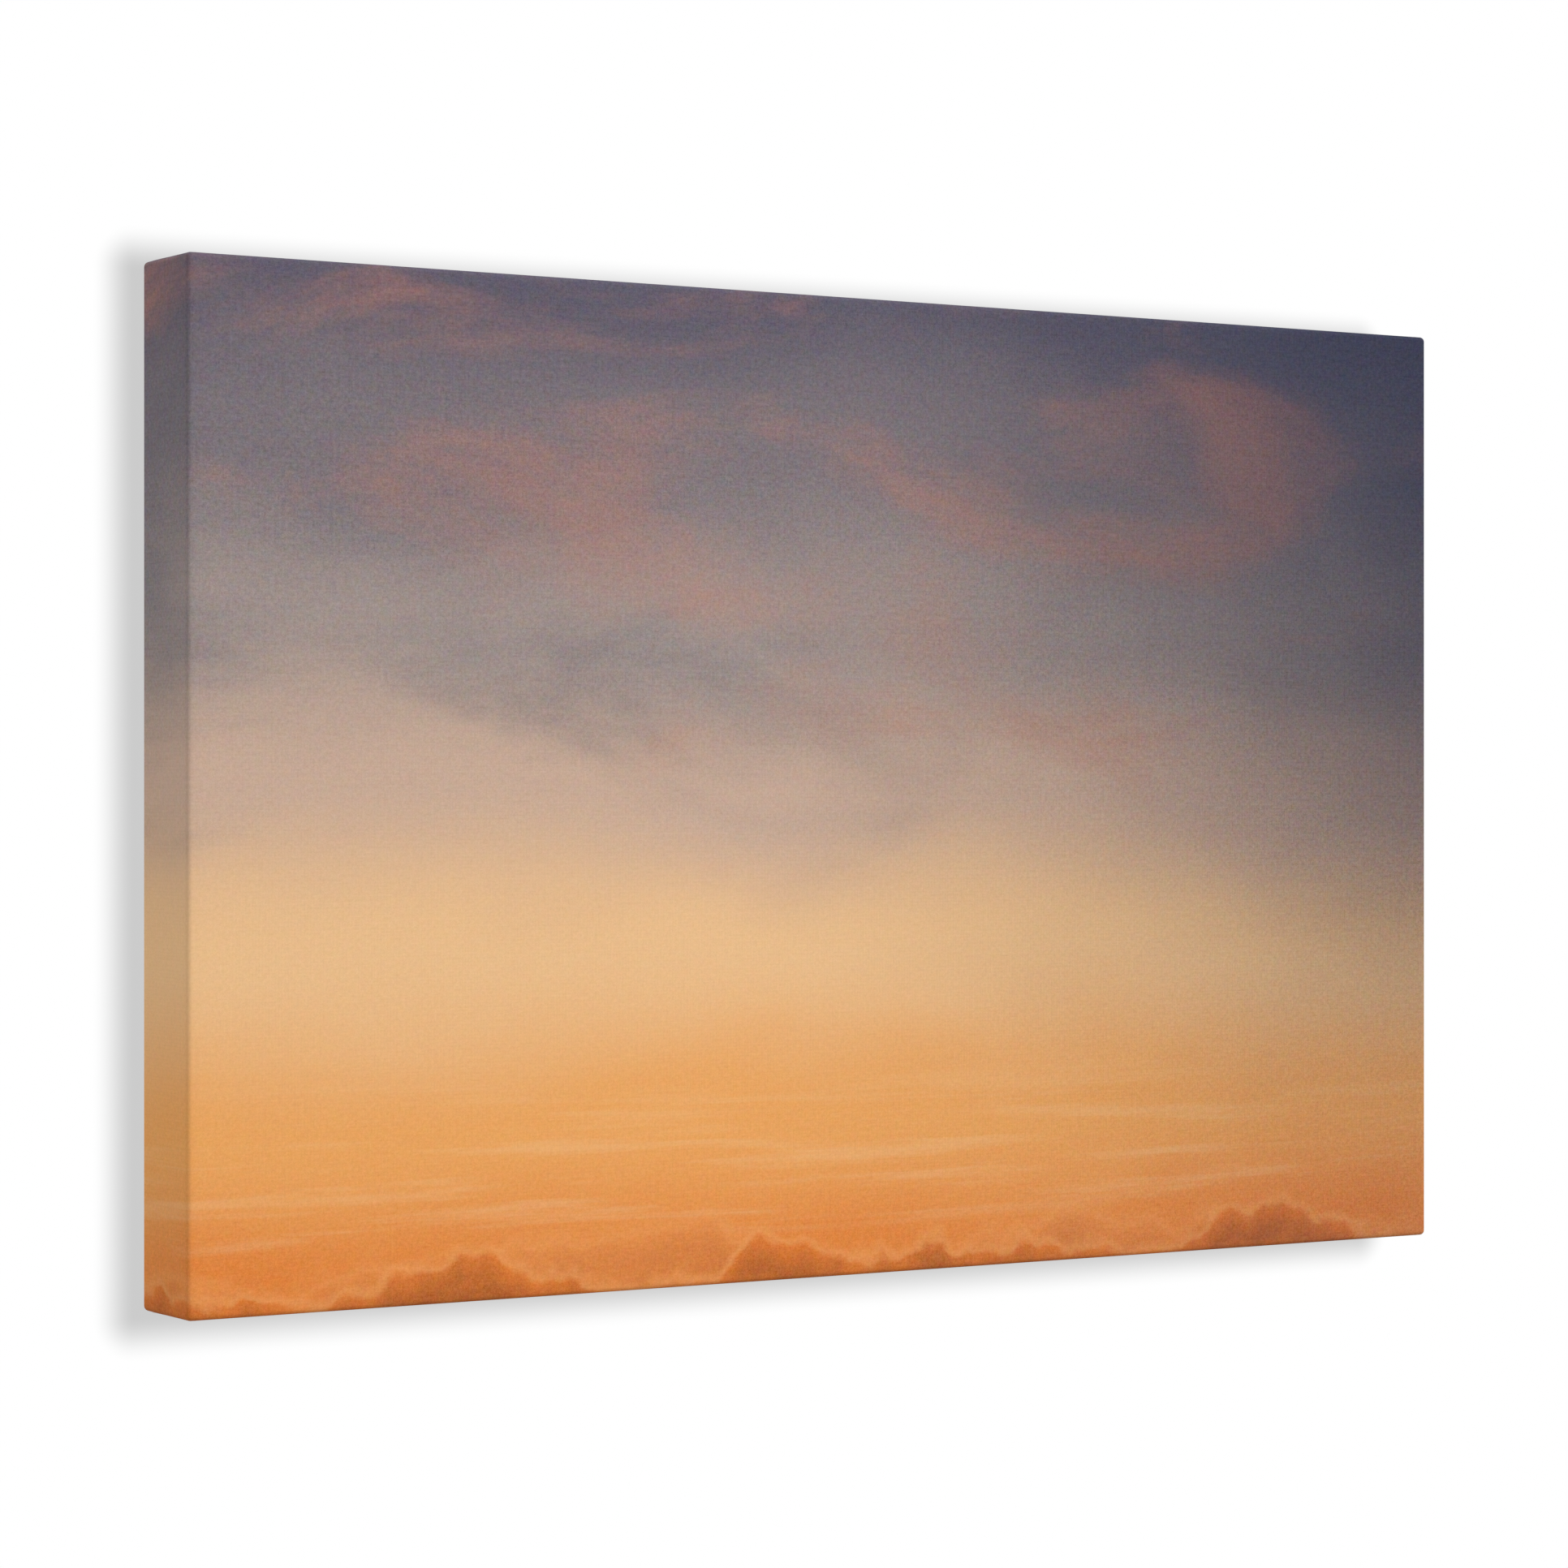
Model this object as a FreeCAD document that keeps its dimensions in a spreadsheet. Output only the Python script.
import FreeCAD, Part
import Sketcher
import os

# Gallery-wrapped stretched canvas, 18 x 12 inches and 1-1/4 inches deep, on keyed stretcher bars.
# Millimetres: +Z up, the picture faces -Y, the wall is on the +Y side, and the origin is
# the centre of the bottom edge, half way through the depth.

doc = FreeCAD.newDocument("stretched_canvas")

# ---------------------------------------------------------------- driving dimensions
DIMENSIONS = [
    ("canvas_width", 457.2),      # outside of the cloth, left to right
    ("canvas_height", 304.8),     # outside of the cloth, bottom to top
    ("canvas_depth", 31.75),      # outside of the cloth, picture face to back of the flaps
    ("cloth_thick", 0.6),         # primed cotton, about 400 g per square metre
    ("cloth_round", 1.6),         # outside radius where the cloth turns round the bars
    ("flap_width", 22.0),         # cloth turned over on to the back of the bars
    ("seat_gap", 0.05),           # hairline between the cloth and the bars
    ("bar_width", 38.0),          # bar, measured in the plane of the picture
    ("rim_width", 6.0),           # flat raised rim the cloth rests on
    ("bevel_drop", 4.0),          # how far the front bevel falls away behind the cloth
    ("bar_round", 1.0),           # outer edges of a bar
    ("bar_ease", 1.5),            # inner back edge of a bar
    ("nip_extra", 0.6),           # legs of the nip off a bar's outer corners, beyond bar_round
    ("cheek_depth", 11.5),        # front mitred cheek, bar front to first tongue
    ("tongue_thick", 4.0),        # each of the two tongue layers
    ("layer_gap", 0.05),          # side play of a tongue in its slot
    ("mitre_gap", 0.05),          # each mitre face stands this far off the 45 degree line
    ("tongue_inset", 1.05),       # tongue end, short of the outer face
    ("slot_mouth", 12.0),         # key space beside the tongue, at the inner edge
    ("slot_root", 6.66),          # key space beside the tongue, at the outer edge
    ("key_in", 24.0),             # length of key inside the slot
    ("key_out", 11.0),            # length of key standing in the opening
    ("key_thick", 3.7),
    ("key_play", 0.06),           # hairline on both edges of a seated key
    ("key_nip", 1.6),             # corners nipped off a key
    ("hanger_long", 63.5),        # sawtooth hanger, end to end
    ("hanger_tall", 9.5),
    ("hanger_thick", 0.9),        # strip steel
    ("hanger_corner", 2.5),       # corners of the two end tabs
    ("hanger_lift", 2.2),         # how far the toothed middle stands off the wood
    ("hanger_mid", 19.0),         # half the raised middle, along its inner face
    ("hanger_ramp", 2.0),         # each step from a tab up to the middle
    ("tooth_pitch", 2.6),
    ("tooth_deep", 2.0),
    ("tooth_short", 0.15),        # tooth tips, short of the strip's lower edge
    ("tooth_middle", 0.8),        # extra depth of the middle notch
    ("nail_at", 27.0),            # each nail, from the hanger's middle
    ("nail_hole", 0.95),          # radius of the holes in the tabs
    ("nail_shank", 0.7),          # radius
    ("nail_bore", 0.65),          # radius of the hole the nail has made in the bar
    ("nail_head", 1.9),           # radius
    ("nail_head_tall", 0.8),
    ("nail_long", 15.0),          # below the head
    ("nail_point", 1.8),
    ("hanger_inset", 30.0),       # hanger's centre line, below the frame's top edge
    ("pad_radius", 6.35),
    ("pad_top_radius", 5.4),
    ("pad_tall", 5.0),
    ("pad_inset", 13.0),          # pad centre, in from both outer edges
    ("staple_crown", 11.0),
    ("staple_leg", 8.0),          # down to where the point begins
    ("staple_point", 0.8),
    ("staple_wire", 0.7),
    ("staple_wide", 1.2),
    ("staple_inset", 12.0),       # staple line, in from the outer edge
]


class Size:
    """A number together with the sheet expression that makes it."""

    def __init__(self, value, text):
        self.value = float(value)
        self.text = text

    def _mix(self, other, sign, value):
        text = other.text if isinstance(other, Size) else repr(float(other))
        return Size(value, "(" + self.text + " " + sign + " " + text + ")")

    @staticmethod
    def number(other):
        return other.value if isinstance(other, Size) else float(other)

    def __add__(self, other):
        return self._mix(other, "+", self.value + Size.number(other))

    def __sub__(self, other):
        return self._mix(other, "-", self.value - Size.number(other))

    def __mul__(self, other):
        return self._mix(other, "*", self.value * Size.number(other))

    def __truediv__(self, other):
        return self._mix(other, "/", self.value / Size.number(other))

    def __neg__(self):
        return Size(-self.value, "(0 - " + self.text + ")")


class Dimensions:
    """Holds each driving dimension as a Size, under its alias."""


dim = Dimensions()
sheet = doc.addObject("Spreadsheet::Sheet", "Dims")
for row, (alias, value) in enumerate(DIMENSIONS, start=1):
    sheet.set("A%d" % row, alias)
    sheet.set("B%d" % row, str(value))
    sheet.setAlias("B%d" % row, alias)
    setattr(dim, alias, Size(value, "Dims." + alias))
doc.recompute()

# ---------------------------------------------------------------- sizes worked out from them
ZERO = dim.canvas_width * 0
OVER = Size(1.0, "1")                 # how far a cutting outline runs past the material
ROOT_TWO = 1.41421356
CLOTH_BACK = dim.canvas_depth / 2     # back face of the flaps (y)
MIDDLE_Z = dim.canvas_height / 2
BAR_LONG = dim.canvas_width - dim.cloth_thick * 2 - dim.seat_gap * 2     # top and bottom bars
BAR_TALL = dim.canvas_height - dim.cloth_thick * 2 - dim.seat_gap * 2    # left and right bars
BAR_BACK = (dim.canvas_depth - dim.cloth_thick * 2 - dim.seat_gap * 2) / 2    # back face (y)
BAR_FRONT = -BAR_BACK
TONGUES_FRONT = BAR_FRONT + dim.cheek_depth         # front of the first tongue layer (y)
TONGUES_MIDDLE = TONGUES_FRONT + dim.tongue_thick   # between the two tongue layers
TONGUES_BACK = TONGUES_MIDDLE + dim.tongue_thick    # back of the second tongue layer
SLOT_SLOPE = (dim.slot_mouth - dim.slot_root) / dim.bar_width
HANGER_Z = dim.canvas_height - dim.hanger_inset
NAIL_PLACES = (-dim.nail_at, dim.nail_at)

pieces = []


# ---------------------------------------------------------------- modelling helpers
def drive(obj, prop, size):
    """Drives a property from the sheet."""
    obj.setExpression(prop, size.text)


def new_body(name):
    body = doc.addObject("PartDesign::Body", name)
    body.Label = name
    return body


def new_sketch(body, role, name, offset=None):
    """A sketch on one of the body's origin planes, raised along the plane's normal by offset."""
    sketch = body.newObject("Sketcher::SketchObject", name)
    plane = [feature for feature in body.Origin.OriginFeatures if feature.Role == role][0]
    sketch.AttachmentSupport = (plane, [""])
    sketch.MapMode = "FlatFace"
    if offset is not None:
        sketch.AttachmentOffset = FreeCAD.Placement(
            FreeCAD.Vector(0, 0, offset.value), FreeCAD.Rotation())
        drive(sketch, "AttachmentOffset.Base.z", offset)
    return sketch


def constrain(sketch, kind, size, *geometry):
    """Adds a constraint whose value follows the sheet."""
    number = sketch.addConstraint(Sketcher.Constraint(kind, *geometry, size.value))
    drive(sketch, "Constraints[%d]" % number, size)


def pin_point(sketch, geometry, position, x, y):
    """Ties a point to its driven coordinates, measured from the sketch's origin."""
    constrain(sketch, "DistanceX", x, -1, 1, geometry, position)
    constrain(sketch, "DistanceY", y, -1, 1, geometry, position)


def polygon(sketch, points):
    """A closed outline through driven points."""
    first = sketch.GeometryCount
    count = len(points)
    for i in range(count):
        start, end = points[i], points[(i + 1) % count]
        sketch.addGeometry(Part.LineSegment(
            FreeCAD.Vector(start[0].value, start[1].value, 0),
            FreeCAD.Vector(end[0].value, end[1].value, 0)), False)
    for i in range(count):
        sketch.addConstraint(
            Sketcher.Constraint("Coincident", first + i, 2, first + (i + 1) % count, 1))
    for i in range(count):
        pin_point(sketch, first + i, 1, points[i][0], points[i][1])


def circle(sketch, x, y, radius):
    geometry = sketch.addGeometry(Part.Circle(
        FreeCAD.Vector(x.value, y.value, 0), FreeCAD.Vector(0, 0, 1), radius.value), False)
    pin_point(sketch, geometry, 3, x, y)
    constrain(sketch, "Radius", radius, geometry)


def pad(body, sketch, name, length):
    """Extrudes a sketch, half the length to each side of its plane."""
    feature = body.newObject("PartDesign::Pad", name)
    feature.Profile = sketch
    feature.Length = length.value
    drive(feature, "Length", length)
    feature.Midplane = True
    doc.recompute()
    return feature


def pocket(body, sketch, name, length, reverse=False):
    """Cuts against the sketch's normal, or along it if reversed. Stops if nothing was cut."""
    before = body.Shape.Volume
    feature = body.newObject("PartDesign::Pocket", name)
    feature.Profile = sketch
    feature.Length = length.value
    drive(feature, "Length", length)
    feature.Reversed = reverse
    doc.recompute()
    if body.Shape.Volume > before - 1e-3:
        raise RuntimeError(body.Label + ": " + name + " cut nothing")


def revolve(body, sketch, name):
    """A full turn round the sketch's vertical axis."""
    feature = body.newObject("PartDesign::Revolution", name)
    feature.Profile = sketch
    feature.ReferenceAxis = (sketch, ["V_Axis"])
    feature.Angle = 360.0
    doc.recompute()


def fillet(body, base, name, radius, test):
    """Rounds every edge of the base feature that passes the test."""
    edges = ["Edge%d" % number
             for number, edge in enumerate(base.Shape.Edges, start=1) if test(edge)]
    if not edges:
        raise RuntimeError(body.Label + ": no edge for " + name)
    feature = body.newObject("PartDesign::Fillet", name)
    feature.Base = (base, edges)
    feature.Radius = radius.value
    drive(feature, "Radius", radius)
    body.Tip = feature
    doc.recompute()
    return feature


def near(value, size):
    return abs(value - size.value) < 1e-3


def straight(edge, axis):
    """True for a straight edge along the axis (0 is X, 1 is Y, 2 is Z), longer than 1 mm."""
    if len(edge.Vertexes) != 2:
        return False
    span = edge.Vertexes[1].Point.sub(edge.Vertexes[0].Point)
    return abs(abs(span[axis]) - span.Length) < 1e-6 and span.Length > 1


def place(obj, x, y, z, turn=0.0):
    """Moves an object, turned about Y by so many degrees; the position follows the sheet."""
    obj.Placement = FreeCAD.Placement(
        FreeCAD.Vector(x.value, y.value, z.value),
        FreeCAD.Rotation(FreeCAD.Vector(0, 1, 0), turn))
    drive(obj, "Placement.Base.x", x)
    drive(obj, "Placement.Base.y", y)
    drive(obj, "Placement.Base.z", z)


def mirrored(outline):
    """The same outline on the -X side."""
    return [(-x, z) for x, z in outline]


def linked_copies(name, master, link_name, spots):
    """One piece made of links to a master body; each spot is (x, y, z, turn)."""
    links = []
    for number, spot in enumerate(spots, start=1):
        link = doc.addObject("App::Link", link_name % number)
        link.LinkedObject = master
        place(link, *spot)
        links.append(link)
    group = doc.addObject("Part::Compound", name)
    group.Label = name
    group.Links = links
    doc.recompute()
    pieces.append(group)


# ---------------------------------------------------------------- the cloth
def block(name, width, depth, height):
    box = doc.addObject("Part::Box", name)
    drive(box, "Length", width)
    drive(box, "Width", depth)
    drive(box, "Height", height)
    return box


def rounded_block(name, width, depth, height, radius):
    """A block about the frame's centre, with all its edges rounded."""
    box = block(name, width, depth, height)
    place(box, -(width / 2), -(depth / 2), MIDDLE_Z - height / 2)
    doc.recompute()
    rounded = doc.addObject("Part::Fillet", name + "_rounded")
    rounded.Base = box
    rounded.Edges = [(i + 1, radius.value, radius.value) for i in range(len(box.Shape.Edges))]
    doc.recompute()
    return rounded


def cloth():
    """One sheet: picture face, four sides, and flaps turned over on to the bars' backs."""
    width, depth, height = dim.canvas_width, dim.canvas_depth, dim.canvas_height
    thick, flap = dim.cloth_thick, dim.flap_width
    outside = rounded_block("cloth_outside", width, depth, height, dim.cloth_round)
    inside = rounded_block("cloth_inside", width - thick * 2, depth - thick * 2,
                           height - thick * 2, dim.cloth_round - thick)
    hollow = doc.addObject("Part::Cut", "cloth_hollow")
    hollow.Base, hollow.Tool = outside, inside
    # The window opens the back only, so it starts half way through the depth.
    window = block("cloth_window", width - flap * 2, depth, height - flap * 2)
    place(window, -(width / 2 - flap), ZERO, flap)
    canvas = doc.addObject("Part::Cut", "canvas")
    canvas.Label = "canvas"
    canvas.Base, canvas.Tool = hollow, window
    doc.recompute()
    pieces.append(canvas)


cloth()

# ---------------------------------------------------------------- the four stretcher bars
# Each bar and its keys are drawn as at the top, round the frame's centre, then turned about Y.
# Columns: side, bar length, frame centre to the bar's outer face, turn in degrees,
# key in the slot at the drawn +X end, key in the slot at the drawn -X end.
SIDES = [
    ("top", BAR_LONG, BAR_TALL / 2, 0.0,
     "key_top_right_vertical", "key_top_left_vertical"),
    ("right", BAR_TALL, BAR_LONG / 2, 90.0,
     "key_bottom_right_horizontal", "key_top_right_horizontal"),
    ("bottom", BAR_LONG, BAR_TALL / 2, 180.0,
     "key_bottom_left_vertical", "key_bottom_right_vertical"),
    ("left", BAR_TALL, BAR_LONG / 2, 270.0,
     "key_top_left_horizontal", "key_bottom_left_horizontal"),
]
LAYER_OVERLAP = 0.001    # a tongue-end cut reaches this far into the cheek cut beside it


def bar_blank(body, name, length, outer):
    """The bar's full length, with its long edges rounded but its ends still square."""
    inner = outer - dim.bar_width
    sketch = new_sketch(body, "YZ_Plane", name + "_profile")
    polygon(sketch, [
        (BAR_FRONT, outer), (BAR_BACK, outer), (BAR_BACK, inner),
        (BAR_FRONT + dim.bevel_drop, inner), (BAR_FRONT, outer - dim.rim_width)])
    blank = pad(body, sketch, name + "_blank", length)
    rounded = fillet(body, blank, name + "_outer_round", dim.bar_round,
                     lambda edge: straight(edge, 0) and near(edge.CenterOfMass.z, outer))
    fillet(body, rounded, name + "_inner_ease", dim.bar_ease,
           lambda edge: straight(edge, 0) and near(edge.CenterOfMass.z, inner)
           and near(edge.CenterOfMass.y, BAR_BACK))


def stretcher_bar(name, length, outer, turn, nail_places):
    """The +X end has its tongue in the front layer and its slot in the back layer;
    the -X end is the other way round, so every corner interlocks."""
    body = new_body(name)
    bar_blank(body, name, length, outer)

    # Outlines of the cuts at the +X end, in X and Z.
    half = length / 2
    inner = outer - dim.bar_width
    past_end, past_outer, past_inner = half + OVER, outer + OVER, inner - OVER
    shoulder = half - dim.bar_width
    play = dim.mitre_gap * ROOT_TWO
    tongue_tip = half - dim.tongue_inset
    nip = dim.bar_round + dim.nip_extra
    mitre = [(shoulder - play, inner), (shoulder - play - OVER, past_inner),
             (past_end, past_inner), (past_end, past_outer + play)]
    slot = [(shoulder - dim.slot_root + SLOT_SLOPE * OVER, past_outer), (past_end, past_outer),
            (past_end, past_inner), (shoulder - dim.slot_mouth - SLOT_SLOPE * OVER, past_inner)]
    tongue_end = [(tongue_tip, past_outer), (past_end, past_outer),
                  (past_end, past_inner), (tongue_tip, past_inner)]
    corner_nip = [(half - nip - OVER, past_outer), (past_end, past_outer),
                  (past_end, outer - nip - OVER)]

    def cut(tag, outlines, front, back):
        """Cuts from y = front to y = back; the XZ plane's normal is -Y, so the offset is -front."""
        sketch = new_sketch(body, "XZ_Plane", name + "_" + tag, -front)
        for outline in outlines:
            polygon(sketch, outline)
        pocket(body, sketch, name + "_" + tag + "_cut", back - front)

    gap = dim.layer_gap
    both_mitres = [mitre, mirrored(mitre)]
    cut("mitre_front", both_mitres, BAR_FRONT - OVER, TONGUES_FRONT)
    cut("mitre_back", both_mitres, TONGUES_BACK, BAR_BACK + OVER)
    cut("tongue_front", [tongue_end], TONGUES_FRONT - LAYER_OVERLAP, TONGUES_MIDDLE)
    cut("slot_back", [slot], TONGUES_MIDDLE - gap, TONGUES_BACK + gap)
    cut("slot_front", [mirrored(slot)], TONGUES_FRONT - gap, TONGUES_MIDDLE + gap)
    cut("tongue_back", [mirrored(tongue_end)], TONGUES_MIDDLE, TONGUES_BACK + LAYER_OVERLAP)
    # The nips off the outer corners follow the cloth's bend.
    cut("corner_nips", [corner_nip, mirrored(corner_nip)], BAR_FRONT - OVER, BAR_BACK + OVER)

    if nail_places:
        # Holes made by the hanger's nails, from the back face.
        sketch = new_sketch(body, "XZ_Plane", name + "_nail_holes", -BAR_BACK)
        nail_z = outer - dim.hanger_inset + dim.cloth_thick + dim.seat_gap
        for x in nail_places:
            circle(sketch, x, nail_z, dim.nail_bore)
        pocket(body, sketch, name + "_nail_holes_cut", dim.nail_long, reverse=True)
    place(body, ZERO, ZERO, MIDDLE_Z, turn)
    doc.recompute()
    pieces.append(body)


for side, length, outer, turn, _, _ in SIDES:
    stretcher_bar("stretcher_bar_" + side, length, outer, turn,
                  NAIL_PLACES if side == "top" else ())


# ---------------------------------------------------------------- the eight corner keys
def corner_key(name, length, outer, turn, at_plus_x):
    """A thin hardwood wedge in a slot, beside the neighbour's tongue: straight edge on
    the tongue, sloping edge on the bottom of the slot."""
    body = new_body(name)
    inner = outer - dim.bar_width
    shoulder = length / 2 - dim.bar_width
    tip = inner + dim.key_in
    head = inner - dim.key_out
    tongue_edge = shoulder - dim.key_play
    slope_tip = shoulder - (dim.slot_mouth - SLOT_SLOPE * dim.key_in - dim.key_play)
    slope_head = shoulder - (dim.slot_mouth + SLOT_SLOPE * dim.key_out - dim.key_play)
    nip = dim.key_nip
    # The tip's corners are nipped by other multiples of the nip than the head's.
    outline = [
        (tongue_edge, tip - nip * 0.5), (tongue_edge, head + nip), (tongue_edge - nip, head),
        (slope_head + nip, head), (slope_head + SLOT_SLOPE * nip, head + nip),
        (slope_tip - SLOT_SLOPE * nip * 2, tip - nip * 2), (slope_tip + nip * 1.5, tip),
        (tongue_edge - nip * 0.5, tip)]
    if at_plus_x:
        layer_y = (TONGUES_MIDDLE + TONGUES_BACK) / 2
    else:
        layer_y = (TONGUES_FRONT + TONGUES_MIDDLE) / 2
        outline = mirrored(outline)
    sketch = new_sketch(body, "XZ_Plane", name + "_outline", -layer_y)
    polygon(sketch, outline)
    pad(body, sketch, name + "_wedge", dim.key_thick)
    place(body, ZERO, ZERO, MIDDLE_Z, turn)
    doc.recompute()
    pieces.append(body)


for _, length, outer, turn, plus_key, minus_key in SIDES:
    corner_key(plus_key, length, outer, turn, True)
    corner_key(minus_key, length, outer, turn, False)

# ---------------------------------------------------------------- sawtooth hanger
BEND_SHIFT = 0.442      # of the thickness; keeps the sloping steps about as thick as the strip
NOTCH_COUNT = 11
HANGER_CLEAR = 0.5      # how far the hanger's cuts start and end beyond the steel


def hanger_teeth():
    """Outline of the notches along the strip's lower edge, in X and Z."""
    low = -(dim.hanger_tall / 2)
    tip = low + dim.tooth_short
    half_row = dim.tooth_pitch * (NOTCH_COUNT / 2)
    outline = [(-half_row, low - OVER), (-half_row, tip)]
    for i in range(NOTCH_COUNT):
        is_middle = i == NOTCH_COUNT // 2
        deep = dim.tooth_deep + dim.tooth_middle if is_middle else dim.tooth_deep
        outline.append((dim.tooth_pitch * (i + 0.5) - half_row, low + deep))
        outline.append((dim.tooth_pitch * (i + 1) - half_row, tip))
    outline.append((half_row, low - OVER))
    return outline


def sawtooth_hanger(name):
    """Strip with two flat end tabs and a raised middle, in the middle of the top bar's back.
    Drawn with the tabs' inner faces at y = 0 and the wall side +Y."""
    body = new_body(name)
    half, middle = dim.hanger_long / 2, dim.hanger_mid
    ramp_foot = middle + dim.hanger_ramp
    thick, lift, tall = dim.hanger_thick, dim.hanger_lift, dim.hanger_tall
    bend = thick * BEND_SHIFT
    sketch = new_sketch(body, "XY_Plane", name + "_bent_strip")
    polygon(sketch, [
        (-half, ZERO), (-ramp_foot, ZERO), (-middle, lift),
        (middle, lift), (ramp_foot, ZERO), (half, ZERO),
        (half, thick), (ramp_foot + bend, thick), (middle + bend, lift + thick),
        (-(middle + bend), lift + thick), (-(ramp_foot + bend), thick), (-half, thick)])
    strip = pad(body, sketch, name + "_strip", tall)
    fillet(body, strip, name + "_tab_corners", dim.hanger_corner,
           lambda edge: near(abs(edge.CenterOfMass.x), half)
           and near(abs(edge.CenterOfMass.z), tall / 2))

    clear = ZERO + HANGER_CLEAR
    sketch = new_sketch(body, "XZ_Plane", name + "_teeth", clear)
    polygon(sketch, hanger_teeth())
    pocket(body, sketch, name + "_teeth_cut", lift + thick + clear * 2)

    sketch = new_sketch(body, "XZ_Plane", name + "_holes", clear)
    for x in NAIL_PLACES:
        circle(sketch, x, ZERO, dim.nail_hole)
    pocket(body, sketch, name + "_holes_cut", thick + clear * 2)
    place(body, ZERO, BAR_BACK, HANGER_Z)
    doc.recompute()
    pieces.append(body)


sawtooth_hanger("sawtooth_hanger")


# ---------------------------------------------------------------- the hanger's two nails
def nail_master():
    """Round-headed nail along Y, pointing to -Y (the picture), with y = 0 under the head."""
    body = new_body("nail_master")
    head, tall, shank = dim.nail_head, dim.nail_head_tall, dim.nail_shank
    sketch = new_sketch(body, "XY_Plane", "nail_half")
    # Radius and y; the head's dome is drawn in fractions of its radius and height.
    polygon(sketch, [
        (ZERO, tall), (head * 0.5, tall), (head * 0.85, tall * 0.75), (head, tall * 0.35),
        (head, ZERO), (shank, ZERO), (shank, -(dim.nail_long - dim.nail_point)),
        (ZERO, -dim.nail_long)])
    revolve(body, sketch, "nail_turned")
    return body


linked_copies("hanger_nails", nail_master(), "hanger_nail_%d",
              [(x, BAR_BACK + dim.hanger_thick, HANGER_Z, 0.0) for x in NAIL_PLACES])


# ---------------------------------------------------------------- soft pads, off the wall
PAD_STRAIGHT = 0.12          # of the height: the upright part of the side
PAD_SHOULDER = 0.88          # of the height: where the top edge begins
PAD_SHOULDER_OUT = 0.25      # shoulder, outside pad_top_radius
PAD_TOP_IN = 0.6             # rim of the flat top, inside pad_top_radius


def wall_pad(name, x, z):
    """A round pad on the back of the flaps."""
    body = new_body(name)
    base, top, tall = dim.pad_radius, dim.pad_top_radius, dim.pad_tall
    sketch = new_sketch(body, "XY_Plane", name + "_half")
    polygon(sketch, [
        (ZERO, ZERO), (base, ZERO), (base, tall * PAD_STRAIGHT),
        (top + PAD_SHOULDER_OUT, tall * PAD_SHOULDER), (top - PAD_TOP_IN, tall), (ZERO, tall)])
    revolve(body, sketch, name + "_turned")
    place(body, x, CLOTH_BACK, z)
    doc.recompute()
    pieces.append(body)


pad_x = dim.canvas_width / 2 - dim.pad_inset
for level, z in (("bottom", dim.pad_inset), ("top", dim.canvas_height - dim.pad_inset)):
    for side, x in (("left", -pad_x), ("right", pad_x)):
        wall_pad("wall_pad_" + level + "_" + side, x, z)

# ---------------------------------------------------------------- staples, one piece per side
STAPLE_BEND = 0.6    # outer radius of the bends, as a fraction of the wire

# Small hand-work variations: degrees of turn, and millimetres of place.
LEAN = [2.5, -1.5, 3.5, -2.0, 1.0, -3.0, 2.0, -1.0, 3.0, -2.5, 1.5, -3.5]
DRIFT = [0.6, -0.5, 0.9, 0.2, -0.8, 0.4, -0.3, 0.7, -0.6, 0.1, 0.5, -0.9]

staple_x = dim.canvas_width / 2 - dim.staple_inset
# Columns: side, x and z of the row's middle, whether the row is upright,
# where it starts in DRIFT for x and for z, where it starts in LEAN, and the lean's sign.
STAPLE_ROWS = [
    ("top", ZERO, dim.canvas_height - dim.staple_inset, False, 0, 4, 0, 1),
    ("bottom", ZERO, dim.staple_inset, False, 5, 2, 3, -1),
    ("left", -staple_x, MIDDLE_Z, True, 1, 7, 5, 1),
    ("right", staple_x, MIDDLE_Z, True, 6, 3, 2, -1),
]


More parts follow.
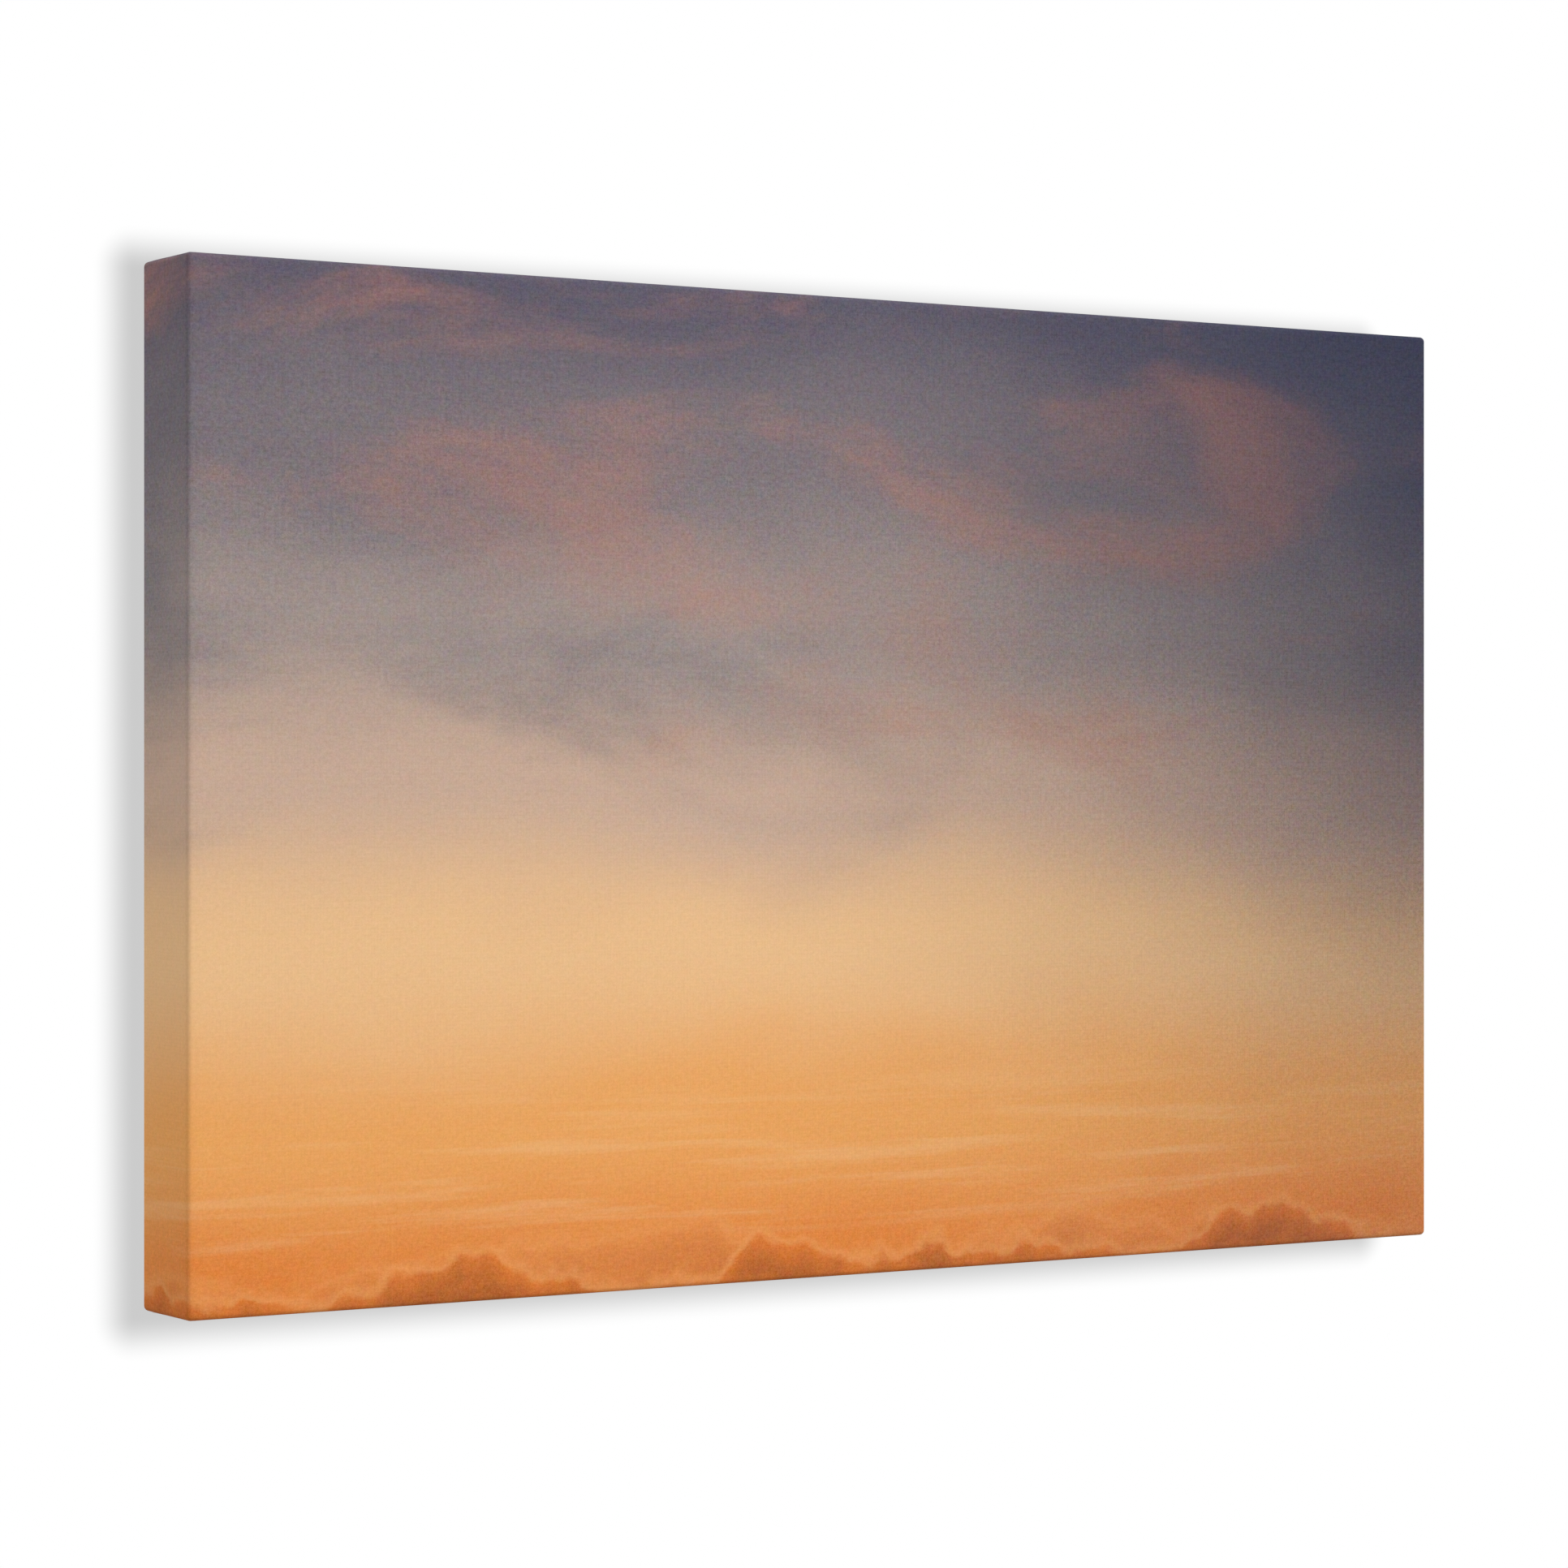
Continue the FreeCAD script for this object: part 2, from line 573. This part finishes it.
def staple_master():
    """A flat-wire staple: crown on the cloth at y = 0, legs through the flap into the bar."""
    body = new_body("staple_master")
    half, wire, leg = dim.staple_crown / 2, dim.staple_wire, dim.staple_leg
    point_x, point_y = half - wire * 0.5, -(leg + dim.staple_point)
    sketch = new_sketch(body, "XY_Plane", "staple_outline")
    polygon(sketch, [
        (-half, wire), (half, wire),
        (half, -leg), (point_x, point_y), (half - wire, -leg), (half - wire, ZERO),
        (-(half - wire), ZERO), (-(half - wire), -leg), (-point_x, point_y), (-half, -leg)])
    bent = pad(body, sketch, "staple_bent", dim.staple_wide)
    fillet(body, bent, "staple_bends", wire * STAPLE_BEND,
           lambda edge: straight(edge, 2) and near(edge.CenterOfMass.y, wire))
    return body


def staple_spots(middle_x, middle_z, upright, x_start, z_start, lean_start, lean_sign):
    """Where the middle of each crown sits, and its turn about Y."""
    # The pitch is the canvas side divided by a number of pitches.
    if upright:
        count, side_length, pitches, base_turn = 6, dim.canvas_height, 7.6, 90.0
    else:
        count, side_length, pitches, base_turn = 11, dim.canvas_width, 12.2, 0.0
    spots = []
    for i in range(count):
        along = side_length * ((i - (count - 1) / 2) / pitches)
        x = middle_x if upright else middle_x + along
        z = middle_z + along if upright else middle_z
        spots.append((
            x + DRIFT[(i + x_start) % len(DRIFT)], CLOTH_BACK,
            z + DRIFT[(i + z_start) % len(DRIFT)],
            base_turn + lean_sign * LEAN[(i + lean_start) % len(LEAN)]))
    return spots


staple = staple_master()
for side, *row_place in STAPLE_ROWS:
    name = "staples_" + side
    linked_copies(name, staple, name + "_%02d", staple_spots(*row_place))

# ---------------------------------------------------------------- checks and output
doc.recompute()
for obj in doc.Objects:
    if "Invalid" in obj.State or "Error" in obj.State:
        raise RuntimeError("%s is %s" % (obj.Name, obj.State))
for piece in pieces:
    shape = piece.Shape
    if shape.isNull() or not shape.isValid() or not shape.Solids:
        raise RuntimeError(piece.Label + " has no valid solid")
os.makedirs("parts", exist_ok=True)
for piece in pieces:
    piece.Shape.exportStep("parts/" + piece.Label + ".step")
